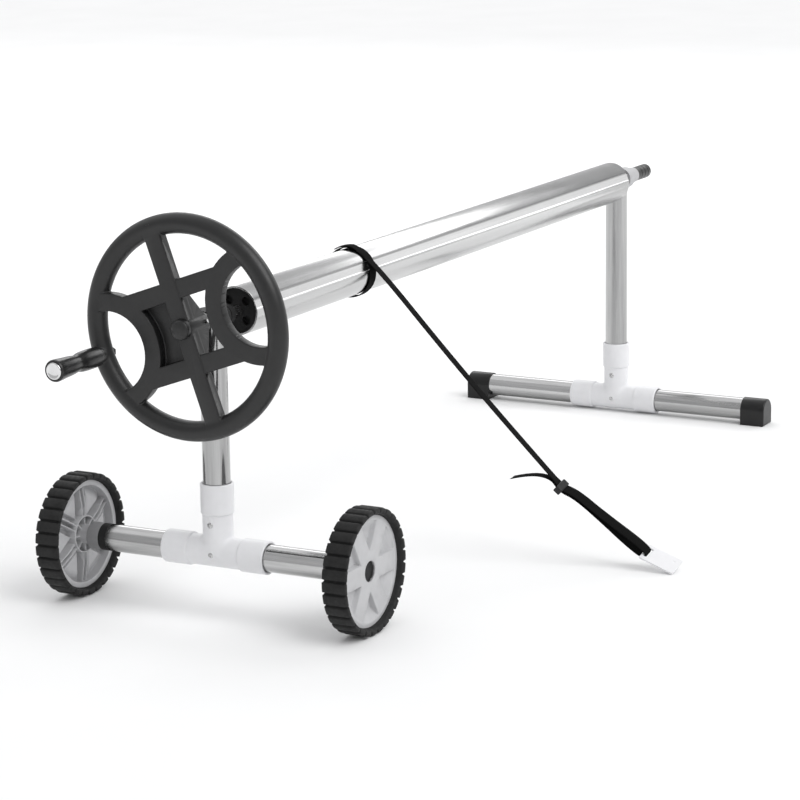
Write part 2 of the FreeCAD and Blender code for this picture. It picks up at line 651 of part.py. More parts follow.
# A cross pin through the hub socket and the shaft turns the winding tube with the handwheel.
PIN_X = "rim_x + hub_back - 14"
shaft_rod = cylinder("near_shaft_rod", "shaft_r", "204", "-84", turn=ALONG_X)
shaft_hole = cylinder("near_shaft_hole", "3 + run_play", "4 * shaft_r", PIN_X, "-2 * shaft_r", "0", ALONG_Y)
sub_part(cut("near_shaft_solid", shaft_rod, [shaft_hole]), "near_shaft", "near_x", "0", "axis_z", WHEEL_TURN)
pin_rod = cylinder("drive_pin_rod", "3", "2 * hub_r + 8", PIN_X, "-hub_r - 4", "0", ALONG_Y)
pin_head = cylinder("drive_pin_head", "4.5", "2", PIN_X, "hub_r + 2", "0", ALONG_Y)
sub_part(fuse("drive_pin_solid", [pin_rod, pin_head]), "drive_pin", "near_x", "0", "axis_z", WHEEL_TURN)

# ---------------------------------------------------------------- handle
# The handle stands on the rim, square to the main bar: its place is worked out in the sheet's terms.

HANDLE_Y = "rim_centre_r * cos(wheel_tilt)"
HANDLE_Z = "axis_z - rim_centre_r * sin(wheel_tilt)"
RIM_FACE = "near_x + rim_x - rim_r - 1.5"

bolt_rod = cylinder("bolt_rod", "bolt_r", "grip_length + 2 * rim_r + 13", "-grip_length - 1", turn=ALONG_X)
bolt_head = cylinder("bolt_head", "bolt_head_r", "3", "-grip_length - 1.3", turn=ALONG_X)
sub_part(fuse("bolt_solid", [bolt_rod, bolt_head]), "handle_bolt", RIM_FACE, HANDLE_Y, HANDLE_Z)

nut_prism = doc.addObject("Part::Prism", "nut_prism")
nut_prism.Polygon = 6
nut_prism.Circumradius = 7.5
nut_prism.Height = 6.5
put(nut_prism, turn=ALONG_X)
nut_solid = cut("nut_solid", nut_prism, [cylinder("nut_bore", "bolt_r + run_play", "6.5", turn=ALONG_X)])
sub_part(nut_solid, "handle_nut", "near_x + rim_x + rim_r", HANDLE_Y, HANDLE_Z)

grip = doc.addObject("PartDesign::Body", "handle_grip_body")
grip_section = outline(grip, "grip_section", "XZ_Plane", [
    ("bolt_r + run_play", "0.4"),
    ("grip_r_near", "0.4"),
    ("grip_r_near", "10"),
    ("grip_r_shoulder", "grip_length * 0.26"),
    ("grip_r_shoulder - 1.2", "grip_length * 0.4"),
    ("grip_r_waist", "grip_length * 0.52"),
    ("grip_r_waist + 1.8", "grip_length * 0.68"),
    ("grip_r_end", "grip_length - 10"),
    ("grip_r_end", "grip_length - 2"),
    ("grip_r_end - 1.5", "grip_length"),
    ("bolt_head_r + 0.3", "grip_length"),
    ("bolt_head_r + 0.3", "grip_length - 2"),
    ("bolt_r + run_play", "grip_length - 2"),
])
revolve(grip, "grip_turn", grip_section, "Z_Axis")
sub_part(grip, "handle_grip", RIM_FACE, HANDLE_Y, HANDLE_Z, MINUS_X)

# ---------------------------------------------------------------- strap
# The webbing lies over the top of the wound turn, leaves it towards the front and comes down almost straight.
# Its own frame: x runs out along the ground under the strap, z is up.

STRAP_TURN = Rotation(Vector(0, 0, 1), size("strap_yaw"))
STRAP_BASE = Vector(size("near_x") + size("strap_x"), -38, 0)
STRAP_PLANE = Placement(STRAP_BASE, STRAP_TURN)
BUCKLE_POINT = Vector(317, 0, 123)
PLATE_POINT = Vector(454, 0, 28)
ROLLED = STRAP_PLANE.multiply(
    Placement(Vector(), Rotation(PLATE_POINT - BUCKLE_POINT, size("strap_roll")), BUCKLE_POINT))


def strap_piece(label, route, placement):
    """A flat strap along straight runs joined by tangent arcs, in the strap's own plane."""
    width = size("strap_width")
    thickness = size("strap_thickness")
    points = [Vector(x, 0, z) for x, z in route]
    edges = []
    radii = []
    here = points[0]
    for before, corner, after in zip(points, points[1:], points[2:]):
        run_in = corner - before
        run_out = after - corner
        turn = run_in.getAngle(run_out)
        reach = 0.45 * min(run_in.Length, run_out.Length)
        radii.append(reach / math.tan(turn / 2))
        run_in.normalize()
        run_out.normalize()
        start = corner - run_in * reach
        end = corner + run_out * reach
        bisector = run_out - run_in
        bisector.normalize()
        centre_gap = math.hypot(radii[-1], reach)
        middle = corner + bisector * (centre_gap - radii[-1])
        edges.append(Part.LineSegment(here, start).toShape())
        edges.append(Part.Arc(start, middle, end).toShape())
        here = end
    edges.append(Part.LineSegment(here, points[-1]).toShape())
    path = Part.Wire(edges)
    along = points[1] - points[0]
    along.normalize()
    across = Vector(0, 1, 0)
    lift = along.cross(across)
    corners = [points[0] + across * (a * width / 2) + lift * (b * thickness / 2)
               for a, b in ((-1, -1), (1, -1), (1, 1), (-1, 1))]
    section = Part.makePolygon(corners + corners[:1])
    solid = path.makePipeShell([section], True, False)
    expected = width * thickness * path.Length
    print(f"{label}: length {path.Length:.1f} mm, radii {[round(r) for r in radii]},"
          f" volume ratio {solid.Volume / expected:.3f}")
    piece = doc.addObject("Part::Feature", f"{label}_solid")
    piece.Shape = solid
    piece.Label = label
    piece.Placement = placement
    sub_parts.append(piece)


wrap_outer = cylinder("wrap_outer", "wrap_r_outer", "strap_width", turn=ALONG_X)
wrap_inner = cylinder("wrap_inner", "wrap_r_inner", "strap_width", turn=ALONG_X)
sub_part(cut("wrap_solid", wrap_outer, [wrap_inner]), "strap_wrap",
         "near_x + strap_x - strap_width / 2", "0", "axis_z")

strap_piece("strap_run", [(-60, 491.5), (-50, 497.5), (-18.5, 497.5), (150, 303), (314, 128)],
            STRAP_PLANE)
# The loop runs down to the plate, through its slot from above and back under the first leg.
strap_piece("strap_loop", [(321.8, 122.4), (345, 114.5), (385, 84), (464, 31.7), (457.9, 18.5),
                           (430, 36.5), (380, 81), (343, 110.5), (319, 118.6)],
            ROLLED)
strap_piece("strap_tail", [(312.5, 124.5), (299.5, 138.5), (268, 141.5), (238, 133.5)],
            STRAP_PLANE)


def on_loop(obj, label, point, pitch):
    """Place a piece of the strap's hardware, rolled with the loop and tipped along the strap."""
    obj.Label = label
    sub_parts.append(obj)
    obj.Placement = ROLLED.multiply(Placement(point, Rotation(Vector(0, 1, 0), pitch)))


slide = box("buckle_block", "8", "strap_width + 6", "10", "-4", "-strap_width / 2 - 3", "-5")
ridge = box("buckle_bar", "6", "strap_width + 2", "12", "-3", "-strap_width / 2 - 1", "-6")
on_loop(fuse("buckle_solid", [slide, ridge]), "strap_buckle", BUCKLE_POINT, 43)

plate_block = box("plate_block", "60", "42", "3", "0", "-21", "-1.5")
plate_slot = box("plate_slot", "5", "strap_width + 3", "6", "5", "-strap_width / 2 - 1.5", "-3")
on_loop(cut("plate_solid", plate_block, [plate_slot]), "strap_plate", PLATE_POINT, 20.5)

# ---------------------------------------------------------------- checks and files

doc.recompute()
for item in doc.Objects:
    if "Invalid" in item.State or "Error" in item.State:
        raise RuntimeError(f"{item.Name} failed: {item.State}")
for item in sub_parts:
    if item.Shape.isNull() or not item.Shape.isValid():
        raise RuntimeError(f"{item.Label} has no valid shape")

os.makedirs("parts", exist_ok=True)
whole = FreeCAD.BoundBox()
for item in sub_parts:
    item.Shape.exportStep(os.path.join("parts", f"{item.Label}.step"))
    if not item.Label.startswith("strap"):
        whole.add(item.Shape.BoundBox)
print(f"{len(sub_parts)} sub-parts")
print(f"box {whole.XLength:.1f} x {whole.YLength:.1f} x {whole.ZLength:.1f} mm")
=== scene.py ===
import math

import bmesh
import bpy
import numpy as np
from mathutils import Matrix, Vector


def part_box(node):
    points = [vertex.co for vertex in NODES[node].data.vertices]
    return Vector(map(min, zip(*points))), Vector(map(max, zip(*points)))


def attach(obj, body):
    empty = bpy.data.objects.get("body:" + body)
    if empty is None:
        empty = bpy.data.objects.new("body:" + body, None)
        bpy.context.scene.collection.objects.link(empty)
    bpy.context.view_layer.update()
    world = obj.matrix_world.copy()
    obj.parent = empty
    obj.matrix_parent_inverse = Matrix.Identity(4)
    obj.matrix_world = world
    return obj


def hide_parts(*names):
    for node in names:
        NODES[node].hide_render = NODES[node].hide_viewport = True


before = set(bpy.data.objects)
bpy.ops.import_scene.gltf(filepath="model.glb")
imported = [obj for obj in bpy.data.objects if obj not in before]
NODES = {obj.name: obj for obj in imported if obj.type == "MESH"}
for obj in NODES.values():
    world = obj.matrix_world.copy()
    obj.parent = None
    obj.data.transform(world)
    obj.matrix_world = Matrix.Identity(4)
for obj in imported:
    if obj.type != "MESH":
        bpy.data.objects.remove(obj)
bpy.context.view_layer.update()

# A pool cover reel: white-socketed tube stands, a bright winding tube, a dark handwheel, two
# lugged wheels and a webbing strap. Metres; +X runs along the tube away from the handwheel.

MM = 0.001

# ---------------------------------------------------------------- camera, floor, lights

CAMERA_TARGET = Vector((-0.1247, 0.0, 0.2076))
CAMERA_AZIMUTH = -62.12     # degrees, 0 looks along +Y
CAMERA_PITCH = 12.78        # degrees below the horizon
CAMERA_ROLL = -0.86
CAMERA_DISTANCE = 4.870
CAMERA_LENS = 130.5


def add_camera():
    azimuth, pitch = math.radians(CAMERA_AZIMUTH), math.radians(CAMERA_PITCH)
    back = Vector((math.sin(azimuth) * math.cos(pitch), -math.cos(azimuth) * math.cos(pitch),
                   math.sin(pitch)))
    data = bpy.data.cameras.new("photo_camera")
    data.lens = CAMERA_LENS
    data.sensor_width = 36
    data.clip_end = 200
    camera = bpy.data.objects.new("photo_camera", data)
    bpy.context.scene.collection.objects.link(camera)
    roll = Matrix.Rotation(math.radians(CAMERA_ROLL), 3, "Z").to_quaternion()
    turn = (-back).to_track_quat("-Z", "Y") @ roll
    camera.rotation_mode = "QUATERNION"
    camera.rotation_quaternion = turn
    camera.location = CAMERA_TARGET + back * CAMERA_DISTANCE
    bpy.context.scene.camera = camera


def softbox(name, place, towards, width, height, power):
    """A rectangular panel lamp that the camera doesn't see."""
    data = bpy.data.lights.new(name, "AREA")
    data.shape = "RECTANGLE"
    data.size, data.size_y = width, height
    data.energy = power
    lamp = bpy.data.objects.new(name, data)
    bpy.context.scene.collection.objects.link(lamp)
    lamp.location = place
    lamp.rotation_mode = "QUATERNION"
    lamp.rotation_quaternion = (Vector(towards) - Vector(place)).to_track_quat("-Z", "Y")
    lamp.visible_camera = False


def wide_sun(name, source, strength, spread):
    """A distant lamp as wide as a big diffuser, shining from the source direction."""
    data = bpy.data.lights.new(name, "SUN")
    data.energy = strength
    data.angle = math.radians(spread)
    lamp = bpy.data.objects.new(name, data)
    bpy.context.scene.collection.objects.link(lamp)
    lamp.rotation_mode = "QUATERNION"
    lamp.rotation_quaternion = (-Vector(source)).to_track_quat("-Z", "Y")


HORIZON_LIGHT, ZENITH_LIGHT = 0.55, 0.66


def add_studio():
    scene = bpy.context.scene
    scene.view_settings.view_transform = "Standard"
    world = bpy.data.worlds.new("studio")
    world.use_nodes = True
    tree = world.node_tree
    direction = tree.nodes.new("ShaderNodeTexCoord")
    height = tree.nodes.new("ShaderNodeSeparateXYZ")
    tree.links.new(direction.outputs["Generated"], height.inputs["Vector"])
    strength = tree.nodes.new("ShaderNodeMapRange")
    strength.interpolation_type = "SMOOTHSTEP"
    strength.inputs["From Min"].default_value = 0.0
    strength.inputs["From Max"].default_value = 0.75
    strength.inputs["To Min"].default_value = HORIZON_LIGHT
    strength.inputs["To Max"].default_value = ZENITH_LIGHT
    tree.links.new(height.outputs["Z"], strength.inputs["Value"])
    tree.links.new(strength.outputs["Result"], tree.nodes["Background"].inputs["Strength"])
    tree.nodes["Background"].inputs["Color"].default_value = (0.985, 0.99, 1.0, 1)
    scene.world = world
    softbox("back_panel", (5.5, 0.8, 3.75), (0, 0, 0.4), 9.0, 2.2, 130)
    softbox("side_panel", (6.0, -3.4, 1.5), (0, 0, 0.4), 2.6, 1.5, 11)
    wide_sun("key", (-0.1, -0.9, 0.95), 1.45, 45)
    wide_sun("fill", (0.2, 0.9, 1.2), 0.35, 60)
    bm = bmesh.new()
    bmesh.ops.create_circle(bm, cap_ends=True, segments=96, radius=40)
    floor = mesh_object("studio_floor", bm)
    floor.location.z = -0.0002
    floor.data.materials.append(floor_material())


def mesh_object(name, bm):
    mesh = bpy.data.meshes.new(name)
    bm.normal_update()
    bm.to_mesh(mesh)
    bm.free()
    obj = bpy.data.objects.new(name, mesh)
    bpy.context.scene.collection.objects.link(obj)
    return obj


# ---------------------------------------------------------------- materials


class Surface:
    """A material built up from noise-driven colour, roughness and relief."""

    def __init__(self, name):
        self.material = bpy.data.materials.new(name)
        self.material.use_nodes = True
        self.tree = self.material.node_tree
        self.shader = self.tree.nodes["Principled BSDF"]
        self.place = self.node("ShaderNodeTexCoord").outputs["Object"]

    def node(self, kind, **settings):
        node = self.tree.nodes.new(kind)
        for key, value in settings.items():
            setattr(node, key, value)
        return node

    def link(self, source, target):
        self.tree.links.new(source, target)

    def set(self, **sockets):
        """Constants, set on the shader's own sockets."""
        for key, value in sockets.items():
            self.shader.inputs[key.replace("_", " ")].default_value = value
        return self

    def noise(self, scale, detail=3.0, stretch=(1, 1, 1), rough=0.5):
        mapping = self.node("ShaderNodeMapping")
        mapping.inputs["Scale"].default_value = stretch
        self.link(self.place, mapping.inputs["Vector"])
        noise = self.node("ShaderNodeTexNoise")
        noise.inputs["Scale"].default_value = scale
        noise.inputs["Detail"].default_value = detail
        noise.inputs["Roughness"].default_value = rough
        self.link(mapping.outputs["Vector"], noise.inputs["Vector"])
        return noise.outputs["Fac"]

    def ramp(self, factor, *stops):
        """Colour ramp; each stop is (position, grey or colour)."""
        ramp = self.node("ShaderNodeValToRGB")
        for rank, (position, value) in enumerate(stops):
            colour = value if isinstance(value, tuple) else (value,) * 3
            items = ramp.color_ramp.elements
            item = items[rank] if rank < 2 else items.new(position)
            item.position = position
            item.color = (*colour, 1)
        self.link(factor, ramp.inputs["Fac"])
        return ramp.outputs["Color"]

    def colour(self, factor, *stops):
        self.link(self.ramp(factor, *stops), self.shader.inputs["Base Color"])
        return self

    def roughness(self, factor, low, high):
        spread = self.node("ShaderNodeMapRange")
        spread.inputs["From Min"].default_value = 0.3
        spread.inputs["From Max"].default_value = 0.7
        spread.inputs["To Min"].default_value = low
        spread.inputs["To Max"].default_value = high
        self.link(factor, spread.inputs["Value"])
        self.link(spread.outputs["Result"], self.shader.inputs["Roughness"])
        return self

    def within(self, direction, low, high, soft):
        """1 where the place along a direction lies from low to high metres, fading over soft metres."""
        along = self.node("ShaderNodeVectorMath", operation="DOT_PRODUCT")
        self.link(self.place, along.inputs[0])
        along.inputs[1].default_value = direction
        sides = []
        for start, end in ((low - soft, low), (high + soft, high)):
            side = self.node("ShaderNodeMapRange")
            side.inputs["From Min"].default_value = start
            side.inputs["From Max"].default_value = end
            self.link(along.outputs["Value"], side.inputs["Value"])
            sides.append(side.outputs["Result"])
        return self.product(*sides)

    def product(self, a, b):
        times = self.node("ShaderNodeMath", operation="MULTIPLY")
        self.link(a, times.inputs[0])
        self.link(b, times.inputs[1])
        return times.outputs["Value"]

    def mixed(self, a, b, share):
        """Two factors blended; share is the second one's part."""
        mix = self.node("ShaderNodeMix", data_type="FLOAT")
        mix.inputs["Factor"].default_value = share
        self.link(a, mix.inputs["A"])
        self.link(b, mix.inputs["B"])
        return mix.outputs["Result"]

    def relief(self, factor, depth, strength=1.0):
        bump = self.node("ShaderNodeBump")
        bump.inputs["Strength"].default_value = strength
        bump.inputs["Distance"].default_value = depth
        self.link(factor, bump.inputs["Height"])
        self.link(bump.outputs["Normal"], self.shader.inputs["Normal"])
        return self


def floor_material():
    floor = Surface("studio_paper")
    floor.colour(floor.noise(3), (0.3, 0.90), (0.7, 0.92))
    floor.set(Roughness=0.9, Specular_IOR_Level=0.1)
    return floor.material


def drawn_metal(name, axis, dark, light, low, high, edges=()):
    """Metal drawn along one axis: wide soft bands, fine draw lines, faint smudges. Each edge line is
    (band's factor, grey), a line of painted shade or painted highlight laid over the metal's colour."""
    metal = Surface(name)
    stretch = [1.0, 1.0, 1.0]
    stretch["XYZ".index(axis)] = 0.02
    bands = metal.noise(95, 2, tuple(stretch), 0.4)
    lines = metal.noise(900, 2, tuple(stretch))
    smudge = metal.noise(14, 4, (1, 1, 1), 0.6)
    tone = metal.mixed(bands, lines, 0.3)
    colour = metal.ramp(tone, (0.38, dark), (0.62, light))
    # Each edge line lays a flat grey over the metal's colour: a painted shade or a painted highlight.
    for factor, grey in edges:
        mix = metal.node("ShaderNodeMix", data_type="RGBA")
        metal.link(factor(metal), mix.inputs["Factor"])
        metal.link(colour, mix.inputs["A"])
        mix.inputs["B"].default_value = (grey, grey, grey, 1)
        colour = mix.outputs["Result"]
    metal.link(colour, metal.shader.inputs["Base Color"])
    metal.roughness(metal.mixed(lines, smudge, 0.55), low, high)
    metal.relief(lines, 0.00002, 0.3)
    metal.set(Metallic=1.0)
    return metal.material


def moulded_plastic(name, dark, light, low, high, gloss=0.4, coat=0.0):
    """Moulded plastic: slight colour mottle, fine spark-eroded grain, a few soft marks."""
    plastic = Surface(name)
    plastic.colour(plastic.noise(38, 5, (1, 1, 1), 0.6), (0.3, dark), (0.7, light))
    plastic.roughness(plastic.noise(120, 4), low, high)
    plastic.relief(plastic.noise(700, 3), 0.00002, 0.15)
    plastic.set(Specular_IOR_Level=gloss, Coat_Weight=coat, Coat_Roughness=0.2)
    return plastic.material


def greys(dark, light):
    """Two near-neutral greys, a touch cooler than pure grey."""
    return (dark, dark, dark * 1.02), (light, light, light * 1.02)


CHANNEL_ANGLE = math.radians(20.8)
LINE_FADE, SIDE_FADE = 0.0015, 0.001
# Greys of the painted shade line and the painted highlight line along the tube's channel.
PAINTED_SHADE_LINE, PAINTED_HIGHLIGHT_LINE = 0.30, 0.95
CHANNEL_HALF, TUBE_R = 0.00725, 0.038
TUBE_AXIS = sum(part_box("roller_tube"), Vector()) / 2


def channel_edge(low, high):
    """Factor of a line along the tube's channel, between two heights from the channel's middle."""
    outwards = Vector((0, -math.cos(CHANNEL_ANGLE), math.sin(CHANNEL_ANGLE)))
    upwards = Vector((0, math.sin(CHANNEL_ANGLE), math.cos(CHANNEL_ANGLE)))
    middle_height, middle_out = TUBE_AXIS.dot(upwards), TUBE_AXIS.dot(outwards)

    def factor(metal):
        return metal.product(metal.within(upwards, middle_height + low, middle_height + high, LINE_FADE),
                             metal.within(outwards, middle_out, middle_out + TUBE_R, SIDE_FADE))
    return factor


# A painted shade line runs along the channel's upper edge, and a painted highlight line along its lower edge.
CHANNEL_PAINTED_LINES = [(channel_edge(CHANNEL_HALF - 0.001, CHANNEL_HALF + 0.001), PAINTED_SHADE_LINE),
                 (channel_edge(-CHANNEL_HALF - 0.001, -CHANNEL_HALF + 0.0005), PAINTED_HIGHLIGHT_LINE)]

MATERIALS = {
    "bright_tube": drawn_metal("bright_tube", "X", 0.53, 0.60, 0.20, 0.27, CHANNEL_PAINTED_LINES),
    "steel_along_y": drawn_metal("steel_along_y", "Y", 0.40, 0.56, 0.10, 0.20),
    "steel_upright": drawn_metal("steel_upright", "Z", 0.36, 0.52, 0.10, 0.20),
    "bright_fastener": drawn_metal("zinc_fastener", "X", 0.50, 0.68, 0.2, 0.34),
    "white_plastic": moulded_plastic("white_plastic", *greys(0.76, 0.80), 0.34, 0.44, coat=0.1),
    "grey_plastic": moulded_plastic("grey_plastic", *greys(0.46, 0.51), 0.42, 0.54),
    "pale_plastic": moulded_plastic("pale_plastic", *greys(0.42, 0.47), 0.4, 0.5),
    "satin_black": moulded_plastic("satin_black", *greys(0.009, 0.013), 0.34, 0.44, gloss=0.5),
    "spacer_grey": moulded_plastic("spacer_grey", *greys(0.22, 0.27), 0.4, 0.5),
    "gloss_black": moulded_plastic("gloss_black", *greys(0.006, 0.009), 0.28, 0.34, gloss=0.35),
    "grip_black": moulded_plastic("grip_black", *greys(0.010, 0.014), 0.28, 0.36, gloss=0.4, coat=0.15),
    "dished_chrome": drawn_metal("dished_chrome", "Z", 0.72, 0.80, 0.10, 0.16),
    "dull_black": moulded_plastic("dull_black", *greys(0.010, 0.015), 0.5, 0.65, gloss=0.25),
}


def rubber_material():
    rubber = Surface("tyre_rubber")
    rubber.colour(rubber.noise(55, 6, (1, 1, 1), 0.7), (0.3, 0.010), (0.72, 0.022))
    rubber.roughness(rubber.noise(200, 4), 0.5, 0.72)
    rubber.relief(rubber.noise(500, 5), 0.0002, 0.5)
    rubber.set(Specular_IOR_Level=0.25)
    return rubber.material


def webbing_material():
    """Black polypropylene webbing: yarn-by-yarn colour variation and fuzz over the woven relief."""
    cloth = Surface("black_webbing")
    cloth.colour(cloth.noise(900, 4, (1, 1, 1), 0.7), (0.3, 0.003), (0.7, 0.010))
    cloth.roughness(cloth.noise(400, 3), 0.86, 0.98)
    cloth.relief(cloth.noise(2600, 3), 0.00015, 0.8)
    cloth.set(Specular_IOR_Level=0.06, Sheen_Weight=0.01, Sheen_Roughness=0.5)
    return cloth.material


MATERIALS["rubber"] = rubber_material()
MATERIALS["webbing"] = webbing_material()

# ---------------------------------------------------------------- places, from the frame


def middle(node):
    low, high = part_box(node)
    return (low + high) / 2


AXIS = middle("roller_tube")
NEAR_BAR = middle("near_cross_tube")
FAR_BAR = middle("far_cross_tube")

# ---------------------------------------------------------------- moulded shapes
# A moulded piece is the zero surface of a distance field in millimetres, so that its blocks
# meet in fillets and its edges are rounded as a mould leaves them.


def slab(value, low, high):
    return np.abs(value - (low + high) / 2) - (high - low) / 2


def rounded(a, b, radius):
    """Both fields at once, with the edge between them rounded."""
    a, b = a + radius, b + radius
    return np.minimum(np.maximum(a, b), 0) + np.hypot(np.maximum(a, 0), np.maximum(b, 0)) - radius


def joined(a, b, fillet):
    """Either field, with a fillet where they meet."""
    mix = np.clip(0.5 + 0.5 * (b - a) / fillet, 0, 1)
    return b + (a - b) * mix - fillet * mix * (1 - mix)


def moulded(name, field, low, high, pitch, keep=1.0):
    """Closed mesh of a field's zero surface: one point in each grid cell that it crosses."""
    axes = [np.arange(a - 2 * pitch, b + 3 * pitch, pitch) for a, b in zip(low, high)]
    solid = field(*np.meshgrid(*axes, indexing="ij")) < 0
    nx, ny, nz = (n - 1 for n in solid.shape)
    corners = sum(solid[i:nx + i, j:ny + j, k:nz + k].astype(int)
                  for i in (0, 1) for j in (0, 1) for k in (0, 1))
    crossed = (corners > 0) & (corners < 8)
    index = np.full(crossed.shape, -1)
    index[crossed] = np.arange(crossed.sum())
    cell = np.stack([line[where] for line, where in zip(axes, np.nonzero(crossed))], 1) + pitch / 2
    points = cell.copy()
    probe = pitch / 50
    for _ in range(6):
        value = field(*points.T)
        slope = np.stack([(field(*(points + probe * side).T) - value) / probe for side in np.eye(3)], 1)
        points -= slope * (value / np.maximum((slope ** 2).sum(1), 0.2))[:, None]
        points = np.clip(points, cell - 0.6 * pitch, cell + 0.6 * pitch)
    faces = []
    for axis in range(3):
        ahead, aside = np.eye(3, dtype=int)[(axis + 1) % 3], np.eye(3, dtype=int)[(axis + 2) % 3]
        lines = np.moveaxis(solid, axis, 0)
        edges = np.argwhere(np.moveaxis(lines[:-1] != lines[1:], 0, axis))
        quads = np.stack([index[tuple((edges - shift).T)]
                          for shift in (ahead + aside, aside, 0 * aside, ahead)], 1)
        hollow = ~solid[tuple(edges.T)]
        quads[hollow] = quads[hollow][:, ::-1]
        faces.append(quads)
    mesh = bpy.data.meshes.new(name)
    mesh.from_pydata(points * MM, [], np.concatenate(faces).tolist())
    obj = bpy.data.objects.new(name, mesh)
    bpy.context.scene.collection.objects.link(obj)
    if keep < 1:
        thin = obj.modifiers.new("thin", "DECIMATE")
        thin.ratio = keep
        settle(obj)
    obj.data.shade_smooth()
    return obj


def settle(obj):
    """Apply the object's modifiers."""
    shape = bpy.data.meshes.new_from_object(obj.evaluated_get(bpy.context.evaluated_depsgraph_get()))
    obj.modifiers.clear()
    obj.data = shape


def soften(obj, width, segments=2):
    """Round an object's sharp edges."""
    weld = obj.modifiers.new("weld", "WELD")
    weld.merge_threshold = 0.00001
    edge = obj.modifiers.new("edge", "BEVEL")
    edge.width = width
    edge.segments = segments
    edge.limit_method = "ANGLE"
    edge.angle_limit = math.radians(35)
    edge.harden_normals = True


def finish_piece(obj, material, body, slot, *nodes, place=None):
    """Give a piece its material, place and body, and hide the CAD nodes that it stands for. The slot is not
    used.
    """
    obj.data.materials.clear()
    obj.data.materials.append(MATERIALS[material])
    if place is not None:
        obj.data.transform(place)
    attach(obj, body)
    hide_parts(*nodes)
    return obj


# ---------------------------------------------------------------- handwheel

RIM_R, RIM_SECTION = 155.0, 15.5
PLATE_FRONT, PLATE_BACK, PLATE_STEP = -13.0, 5.0, 1.8
BAR_HALF = 13.5
CROSS_MIDDLE, CROSS_HALF, CROSS_REACH = 58.0, 14.0, 84.0
WINDOW_OFFSET, BAND_MIDDLE, BAND_HALF = 136.0, 75.5, 13.5
HUB_R, HUB_BACK, GUSSET_REACH = 16.0, 43.6, 61.0
WHEEL_TILT = math.radians(-19.5)


def handwheel_field(w, u, v):
    """Own frame: w along the axis, u towards the handle, v along the main bar."""
    round_plate = np.hypot(u, v)
    rim = np.hypot(round_plate - RIM_R, w) - RIM_SECTION
    bar = np.abs(u) - BAR_HALF
    cross = np.maximum(np.abs(u) - CROSS_REACH, np.abs(np.abs(v) - CROSS_MIDDLE) - CROSS_HALF)
    band = np.abs(np.hypot(np.abs(u) - WINDOW_OFFSET, v) - BAND_MIDDLE) - BAND_HALF
    outline = np.maximum(np.minimum(np.minimum(bar, cross), band), round_plate - RIM_R)
    level = rounded(np.maximum(outline, -BAR_HALF - u), slab(w, PLATE_FRONT, PLATE_BACK), 1.3)
    behind = rounded(np.maximum(outline, u), slab(w, PLATE_FRONT + PLATE_STEP, PLATE_BACK), 1.3)
    panel = rounded(np.maximum(np.abs(v) - CROSS_MIDDLE, slab(u, 0, 60)),
                    slab(w, PLATE_BACK - 3, PLATE_BACK), 0.6)
    hub = rounded(round_plate - HUB_R, slab(w, PLATE_FRONT + 2, HUB_BACK), 1.2)
    depth = HUB_BACK - PLATE_BACK
    steepness = math.hypot(1 / depth, 1 / GUSSET_REACH)
    slope = ((w - PLATE_BACK) / depth + np.abs(v) / GUSSET_REACH - 1) / steepness
    gusset = rounded(rounded(slope, bar, 1.0), -w, 0.5)
    boss = rounded(np.hypot(u - RIM_R, v) - 13, slab(w, -RIM_SECTION - 1.5, 2), 1.5)
    whole = joined(rim, level, 2.2)
    whole = joined(whole, behind, 1.0)
    for part in (panel, hub, gusset, boss):
        whole = joined(whole, part, 1.2)
    return whole


RIM_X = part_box("handwheel")[0].x + (RIM_SECTION + 1.5) * MM
WHEEL_PLACE = Matrix.Translation((RIM_X, 0, AXIS.z)) @ Matrix.Rotation(WHEEL_TILT, 4, "X")
reach = RIM_R + RIM_SECTION
handwheel = moulded("handwheel_moulding", handwheel_field, (-RIM_SECTION - 2, -reach, -reach),
                    (HUB_BACK, reach, reach), 1.4, keep=0.5)
finish_piece(handwheel, "satin_black", "roller", "black_moulding", "handwheel", place=WHEEL_PLACE)

# ---------------------------------------------------------------- turned shapes


def eased(points, rounds=3):
    """A broken line with its corners cut, so that it runs as a smooth curve."""
    for _ in range(rounds):
        cut = [points[0]]
        for (ax, ar), (bx, br) in zip(points, points[1:]):
            cut += [(0.75 * ax + 0.25 * bx, 0.75 * ar + 0.25 * br),
                    (0.25 * ax + 0.75 * bx, 0.25 * ar + 0.75 * br)]
        points = cut + [points[-1]]
    return points


def turned(name, profile, segments=72):
    """Closed solid turned about X; the profile is (along, radius) in millimetres, from axis to axis."""
    rings = [(x, r) for x, r in profile if r > 0]
    angles = np.linspace(0, math.tau, segments, endpoint=False)
    points = [(x * MM, r * math.cos(a) * MM, r * math.sin(a) * MM) for x, r in rings for a in angles]
    faces = []
    for ring in range(len(rings) - 1):
        for place in range(segments):
            after = (place + 1) % segments
            faces.append((ring * segments + place, ring * segments + after,
                          (ring + 1) * segments + after, (ring + 1) * segments + place))
    last = (len(rings) - 1) * segments
    faces += [tuple(range(segments))[::-1], tuple(range(last, last + segments))]
    mesh = bpy.data.meshes.new(name)
    mesh.from_pydata(points, [], faces)
    mesh.shade_smooth()
    bm = bmesh.new()
    bm.from_mesh(mesh)
    bmesh.ops.recalc_face_normals(bm, faces=bm.faces)
    bm.to_mesh(mesh)
    bm.free()
    mesh.set_sharp_from_angle(angle=math.radians(38))
    obj = bpy.data.objects.new(name, mesh)
    bpy.context.scene.collection.objects.link(obj)
    return obj


